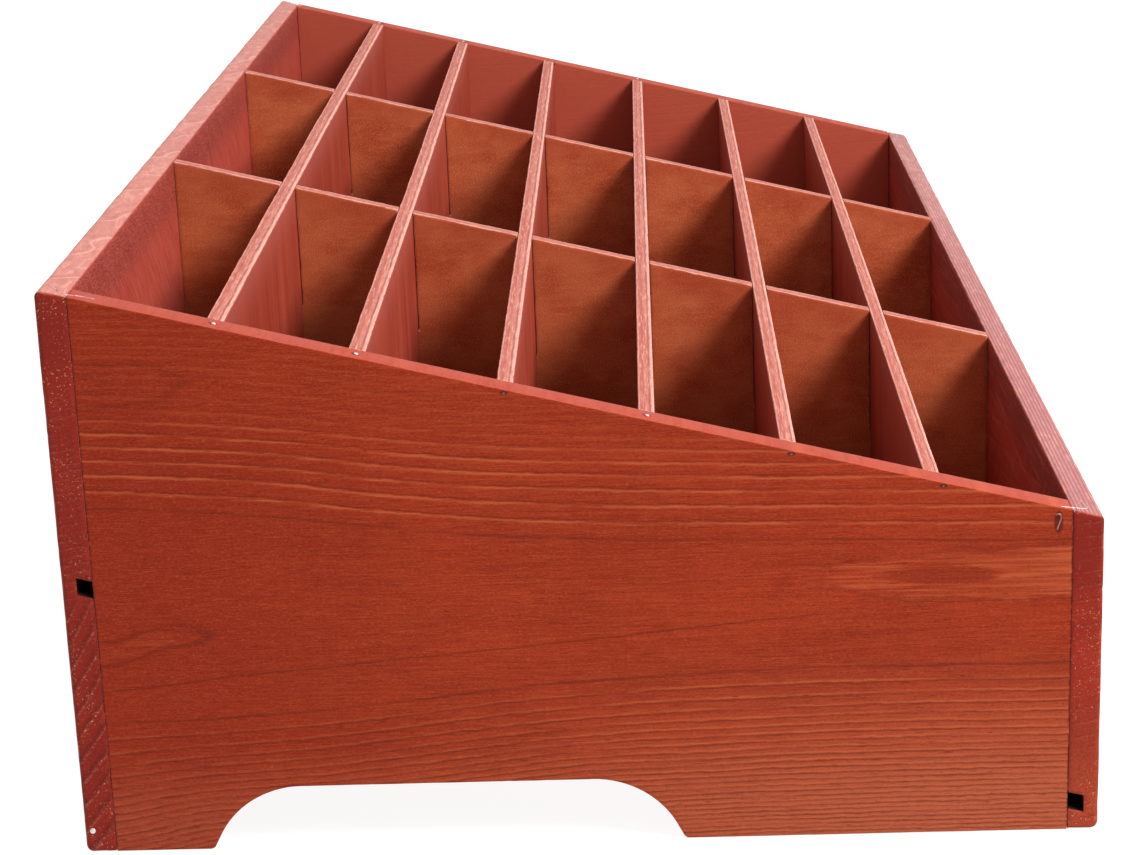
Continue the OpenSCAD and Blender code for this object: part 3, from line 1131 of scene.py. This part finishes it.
def end_wear_and_groove_shade(g, part, colour):
    """Worn and stained arrises, the seams with the side panels, and painted shade, near black, inside
    the groove.
    """
    rim, edge = part.rim, part.edge
    arris = g.attribute("arris")
    worn = arris * g.noise((9, 14, 9), seed=3.7).ramp(0.4, 0.62)
    colour = g.paint(
        colour, (arris * 0.55 * (1 - rim), STAIN_EDGE),
        (worn * (rim * 0.4 + 0.15), WORN),
        (seam(g, 0.4, 0.5) * edge * 0.8, STAIN_EDGE),
    )
    # The inside of the groove is painted near black: painted shade
    level = g.z - g.x * FLOOR_SLOPE - (floor_z(0) - BOTTOM_T / 2)
    groove = level.abs().ramp(5.2, 4.2) * (part.outward + END_T / 2).ramp(6.6, 6.2) * (1 - edge)
    return g.mix(groove * 0.97, colour, SHADE_BLACK)


def end_board_wood():
    """Softwood with the grain along Y, planed outside and sawn inside."""
    g = Graph("end_board_wood")
    part = EndParts(g)
    colour, height = end_faces(g, part)
    colour, inner_height = end_inner_faces(g, part, colour)
    colour, rim_relief = end_rims(g, part, colour)
    colour = end_wear_and_groove_shade(g, part, colour)
    height = height + inner_height + rim_relief
    rough = part.fibre * 0.12 + 0.36 + part.inner * 0.1
    return g.finish(colour, rough, height, bump=0.9, IOR=1.45, Specular_IOR_Level=0.1)


# ------------------------ plywood

def ply_layers(g):
    """(red, pale, glue) masks of the plies seen on an edge, by the distance from mid-thickness."""
    wobble = g.noise((16, 16, 16), rough=0.6, seed=3.9) - 0.5
    off = g.attribute("across") + wobble
    red = off.ramp(-0.2, -1.2) + off.bell(0.35) * 0.3
    pale = off.ramp(1.7, 2.3) + (off + 2.6).bell(0.35) * 0.7
    glue = (off - 1.5).bell(0.38) + (off + 0.9).bell(0.3) * 0.4
    return red.clamp(), pale.clamp(), glue.clamp()


def ply_finish(g, colour, grain, fine, streaks):
    """Adds a divider's layered, worn edges to the colour of its faces; streaks run along its rim."""
    wall = g.attribute("wall").ramp(0.4, 0.8)
    rim = wall * g.nz.ramp(0.5, 0.9)
    streak = g.noise(streaks, detail=3, rough=0.65, seed=9.2)
    patch = g.noise([size * 4 for size in streaks], detail=2, rough=0.6, seed=5.9)
    mottle = g.noise((1.6, 1.6, 1.6), rough=0.75, seed=2.8)
    red, pale, glue = ply_layers(g)
    colour = g.paint(
        colour, (wall * 0.92, PLY_RIM),
        (wall * red * 0.75, PLY_RED),
        (wall * patch.ramp(0.5, 0.62) * 0.6, PLY_RED),
        (wall * pale * 0.4, PLY_WORN),
        (wall * streak.ramp(0.5, 0.3) * 0.5, PLY_RED),
        (wall * streak.ramp(0.5, 0.7) * 0.4, PLY_WORN),
        (wall * mottle.ramp(0.48, 0.3) * 0.5, PLY_LAYER),
        (wall * glue * (streak.ramp(0.65, 0.35) * 0.4 + 0.45), PLY_LAYER),
    )
    worn = g.attribute("arris") * g.noise((7, 7, 7), seed=1.7).ramp(0.28, 0.5)
    colour = g.mix(worn * 0.6, colour, PLY_WORN)
    height = grain * 0.03 + fine * 0.06 + wall * (streak * 0.2 - glue * 0.15)
    rough = fine * 0.15 + 0.4 + rim * 0.05
    return g.finish(colour, rough, height, bump=0.8, IOR=1.45, Specular_IOR_Level=0.15)


def cross_divider_plywood():
    """Plywood that stands across the box: upright grain on its faces, layered edges on its rim."""
    g = Graph("cross_divider_plywood")
    grain = g.noise((8, 1.6, 60), rough=0.6, seed=1.1)
    figure = g.noise((40, 16, 130), rough=0.6, seed=4.0, bend=0.6)
    fine = g.noise((1, 0.35, 7), detail=2, rough=0.6, seed=6.4)
    below = rim_height(g) - g.z
    colour = g.paint(
        g.mix(figure.ramp(0.3, 0.7), CROSS_DEEP, CROSS_WARM),
        (grain.ramp(0.4, 0.75) * 0.3, CROSS_GOLD),
        (fine.ramp(0.4, 0.75) * 0.3, CROSS_DEEP),
        # Grey towards the rim: painted sheen
        ((below + figure * 30).ramp(34, 12) * 0.35, CROSS_GREY_SHEEN),
    )
    return ply_finish(g, colour, grain, fine, streaks=(0.6, 11.0, 0.6))


def long_divider_plywood():
    """Plywood that stands along the box: browner, with a fine mottled face."""
    g = Graph("long_divider_plywood")
    grain = g.noise((14, 8, 2.4), detail=4, rough=0.7, seed=2.1)
    figure = g.noise((26, 30, 20), rough=0.6, seed=5.0)
    fine = g.noise((0.7, 1, 0.6), detail=2, rough=0.75, seed=7.4)
    below = rim_height(g) - g.z
    colour = g.paint(
        g.mix(figure.ramp(0.3, 0.7), LONG_DEEP, LONG_WARM),
        (grain.ramp(0.45, 0.8) * 0.25, LONG_GOLD),
        (fine.ramp(0.5, 0.68) * 0.5, LONG_GOLD),
        (fine.ramp(0.5, 0.32) * 0.5, LONG_DEEP),
        ((below + figure * 16).ramp(26, 10) * 0.4, LONG_RED),
    )
    return ply_finish(g, colour, grain, fine, streaks=(11.0, 0.6, 0.6))


def bottom_plywood():
    """Plywood with the grain along X; its side edges, in the dark against the side panels, are painted
    near black as shade.
    """
    g = Graph("bottom_plywood")
    grain = g.noise((34, 1.4, 8), rough=0.6, seed=1.9)
    figure = g.noise((160, 14, 60), rough=0.6, seed=4.7, bend=0.5)
    fine = g.noise((5, 0.4, 1), detail=2, rough=0.6, seed=6.9)
    colour = g.mix(figure.ramp(0.3, 0.7), CROSS_DEEP, CROSS_WARM)
    colour = g.mix(grain.ramp(0.35, 0.75) * 0.4, colour, LONG_GOLD)
    # Painted shade: the side edges against the side panels go near black
    colour = g.mix(g.y.abs().ramp(INNER_W - 2.0, INNER_W - 1.0), colour, SHADE_BLACK)
    height = grain * 0.05 + fine * 0.03
    return g.finish(colour, fine * 0.12 + 0.42, height, bump=0.8, IOR=1.45, Specular_IOR_Level=0.2)


# ------------------------ steel

def steel(name, tint, stain, rough):
    """Bare or stained steel: scratched, with a little red stain smeared on."""
    g = Graph(name)
    smear = g.noise((1.6, 1.6, 1.6), rough=0.6, seed=3.0).ramp(0.45, 0.7)
    scratch = g.noise((0.3, 2.5, 0.3), detail=2, seed=5.0)
    colour = g.mix(smear * stain, tint, STEEL_STAIN)
    colour = g.mix(g.attribute("stained") * 0.85, colour, STAIN_EDGE)
    return g.finish(colour, scratch * 0.2 + rough, scratch * 0.03 + smear * 0.03, bump=0.7,
                    Metallic=0.85)


# ------------------------ studio

KEY_PLACE = Vector((1.72, -1.10, 1.90))
KEY_AIM = Vector((0.0, 0.0, 0.12))
KEY_SIZE = 0.95
KEY_POWER = 124.0


def make_light(name, place, aim, size, power):
    data = bpy.data.lights.new(name, "AREA")
    data.shape = "SQUARE"
    data.size = size
    data.energy = power
    light = bpy.data.objects.new(name, data)
    light.location = place
    light.rotation_euler = (aim - place).to_track_quat("-Z", "Y").to_euler()
    scene.collection.objects.link(light)


# The sky's light: the directions' Y and Z between which it changes, and its strength at both
SKY_DEPTH = (-0.5, 0.5, 0.18, 0.85)
SKY_HEIGHT = (0.35, 1.0, 0.0, 1.9)
# Its strength where the camera sees it
SKY_SEEN = 1.05


def make_world():
    """White all round for the eye; for light, bright behind and above and dim in front."""
    world = bpy.data.worlds.new("studio")
    world.use_nodes = True
    nodes, links = world.node_tree.nodes, world.node_tree.links
    nodes.clear()
    place, parts, both, path, pick, back, out = (nodes.new("ShaderNode" + kind) for kind in (
        "TexCoord", "SeparateXYZ", "Math", "LightPath", "Mix", "Background", "OutputWorld"))
    links.new(place.outputs["Generated"], parts.inputs[0])
    for k, (axis, settings) in enumerate((("Y", SKY_DEPTH), ("Z", SKY_HEIGHT))):
        ramp = nodes.new("ShaderNodeMapRange")
        ramp.interpolation_type = "SMOOTHSTEP"
        links.new(parts.outputs[axis], ramp.inputs[0])
        for socket, value in zip(list(ramp.inputs)[1:5], settings):
            socket.default_value = value
        links.new(ramp.outputs[0], both.inputs[k])
    links.new(path.outputs["Is Camera Ray"], pick.inputs[0])
    links.new(both.outputs[0], pick.inputs[2])
    pick.inputs[3].default_value = SKY_SEEN
    links.new(pick.outputs[0], back.inputs["Strength"])
    links.new(back.outputs[0], out.inputs[0])
    scene.world = world


FLOOR_REACH = 9.0
# The floor lies a hair lower than the stand's foot
FLOOR_DROP = 0.0005
FLOOR_GLOW = 0.92


def make_floor():
    mesh = bpy.data.meshes.new("floor")
    corners = [(x * FLOOR_REACH, y * FLOOR_REACH, 0) for x, y in ((-1, -1), (1, -1), (1, 1), (-1, 1))]
    mesh.from_pydata(corners, [], [(0, 1, 2, 3)])
    floor = bpy.data.objects.new("floor", mesh)
    floor.location.z = -FLOOR_DROP
    scene.collection.objects.link(floor)
    g = Graph("floor_white")
    grain = g.noise((300, 300, 300), detail=1, seed=1.0)
    colour = g.mix(grain * 0.3, (0.16, 0.16, 0.16), (0.14, 0.14, 0.14))
    g.shader.inputs["Emission Color"].default_value = (1, 1, 1, 1)
    mesh.materials.append(g.finish(colour, 0.9, Specular_IOR_Level=0.0, Emission_Strength=FLOOR_GLOW))


# ------------------------ assembly

def build_boards():
    end_wood = end_board_wood()
    fit(end_board("tall_end_board_wood", -1, 11), end_wood)
    fit(end_board("short_end_board_wood", 1, 12), end_wood)
    side_wood = side_panel_wood()
    fit(side_panel("front_side_panel_wood", FRONT_LO.y, 13), side_wood)
    fit(side_panel("back_side_panel_wood", BACK_LO.y, 14), side_wood)
    fit(bottom_board("sloping_bottom_ply", 15), bottom_plywood())
    cross_ply = cross_divider_plywood()
    for i in range(len(CROSS_NAMES)):
        fit(cross_divider(i, 20 + i), cross_ply)
    long_ply = long_divider_plywood()
    for j in range(len(LONG_NAMES)):
        fit(long_divider(j, 30 + j), long_ply)


def build_fasteners():
    bright = steel("bright_steel", STEEL_BRIGHT, 0.55, 0.25)
    strip = steel("strip_steel", STEEL_STRIP, 0.80, 0.42)
    dark = steel("dark_steel", STEEL_DARK, 0.9, 0.4)
    fit(corner_nails(), strip)
    fit(divider_brads(-1), bright)
    fit(divider_brads(1), bright)
    fit(bent_brad(), dark)
    fit(foot_brad(), bright)


make_camera()
make_world()
make_light("key", KEY_PLACE, KEY_AIM, KEY_SIZE, KEY_POWER)
make_floor()
build_boards()
build_fasteners()
scene.view_settings.view_transform = "Standard"
